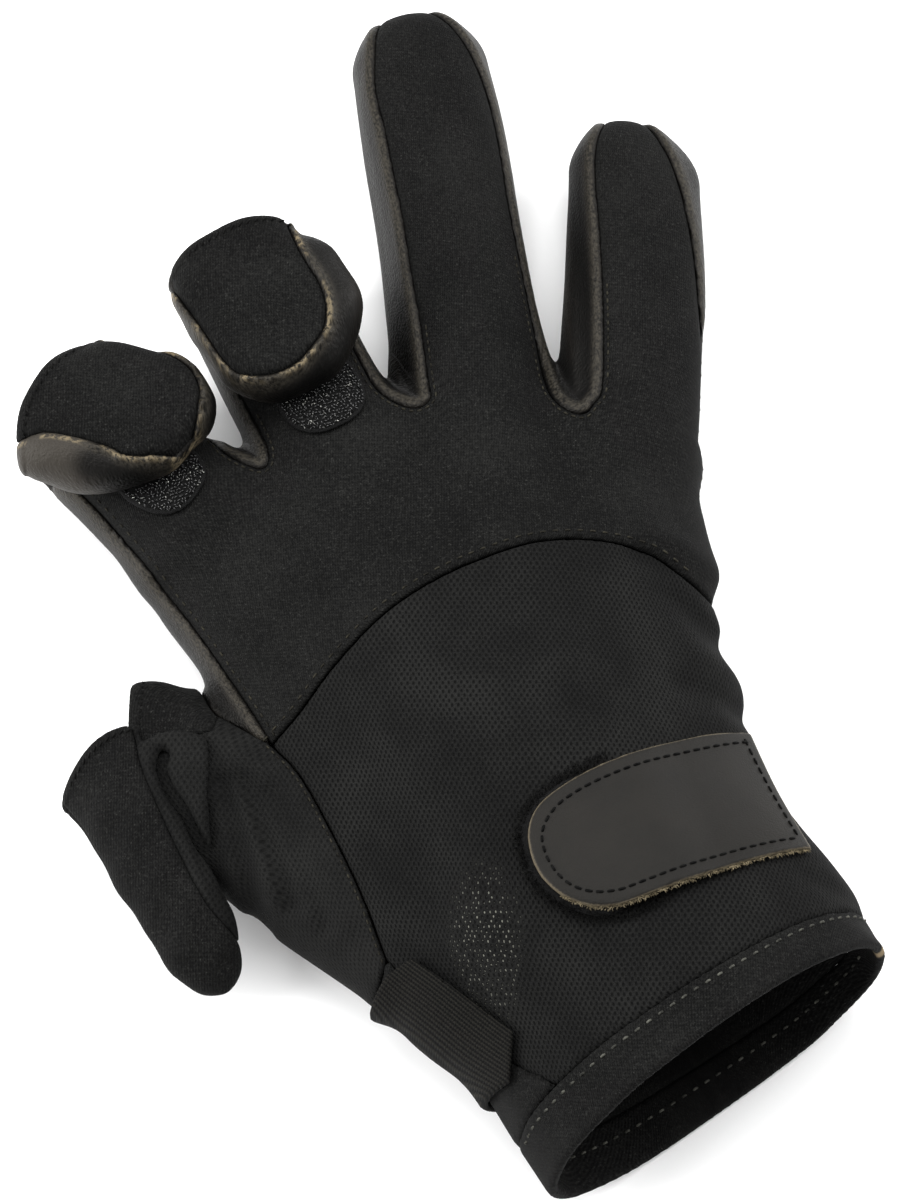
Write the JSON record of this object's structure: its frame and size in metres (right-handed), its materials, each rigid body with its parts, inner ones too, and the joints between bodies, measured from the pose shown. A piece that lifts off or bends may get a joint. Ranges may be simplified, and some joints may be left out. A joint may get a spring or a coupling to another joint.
{
  "type": "neoprene glove",
  "caption": "Right-hand neoprene and leather work glove lying palm down, with folded-back finger hoods, mesh wrist, hook-and-loop strap and stitched cuff.",
  "frame": {"origin": "on the flat underside of the palm, in the middle of the hand, where the glove rests on a surface", "axes": "+Z out of the back of the hand, +Y to the fingertips, +X to the little finger; the thumb is on the -X side"},
  "size_m": [0.1653, 0.2511, 0.047],
  "materials": {
    "neoprene_fabric": "fine smooth knit laminated on neoprene, matt black",
    "mesh_knit": "open mesh knit, matt black",
    "leather": "fine-grained black synthetic leather with a soft brownish sheen",
    "strap_leather": "smooth dark grey synthetic leather with a raw tan edge",
    "hook_fabric": "black hook-and-loop fabric",
    "elastic": "ribbed black elastic webbing"
  },
  "bodies": {
    "root": {"back_panel": "neoprene_fabric", "thumb_pad": "neoprene_fabric", "under_wrist_panel": "neoprene_fabric", "cuff_hem": "neoprene_fabric", "index_hood_face": "neoprene_fabric", "middle_hood_face": "neoprene_fabric", "thumb_hood_face": "neoprene_fabric", "wrist_panel": "mesh_knit", "thumb_gusset": "mesh_knit", "thumb_hood_back": "mesh_knit", "palm_panel": "leather", "fourchette_index_middle": "leather", "fourchette_middle_ring": "leather", "fourchette_ring_little": "leather", "index_hood_side": "leather", "middle_hood_side": "leather", "wrist_strap": "strap_leather", "strap_loop_patch": "hook_fabric", "index_hook_patch": "hook_fabric", "middle_hook_patch": "hook_fabric", "elastic_tab": "elastic"}
  },
  "joints": []
}
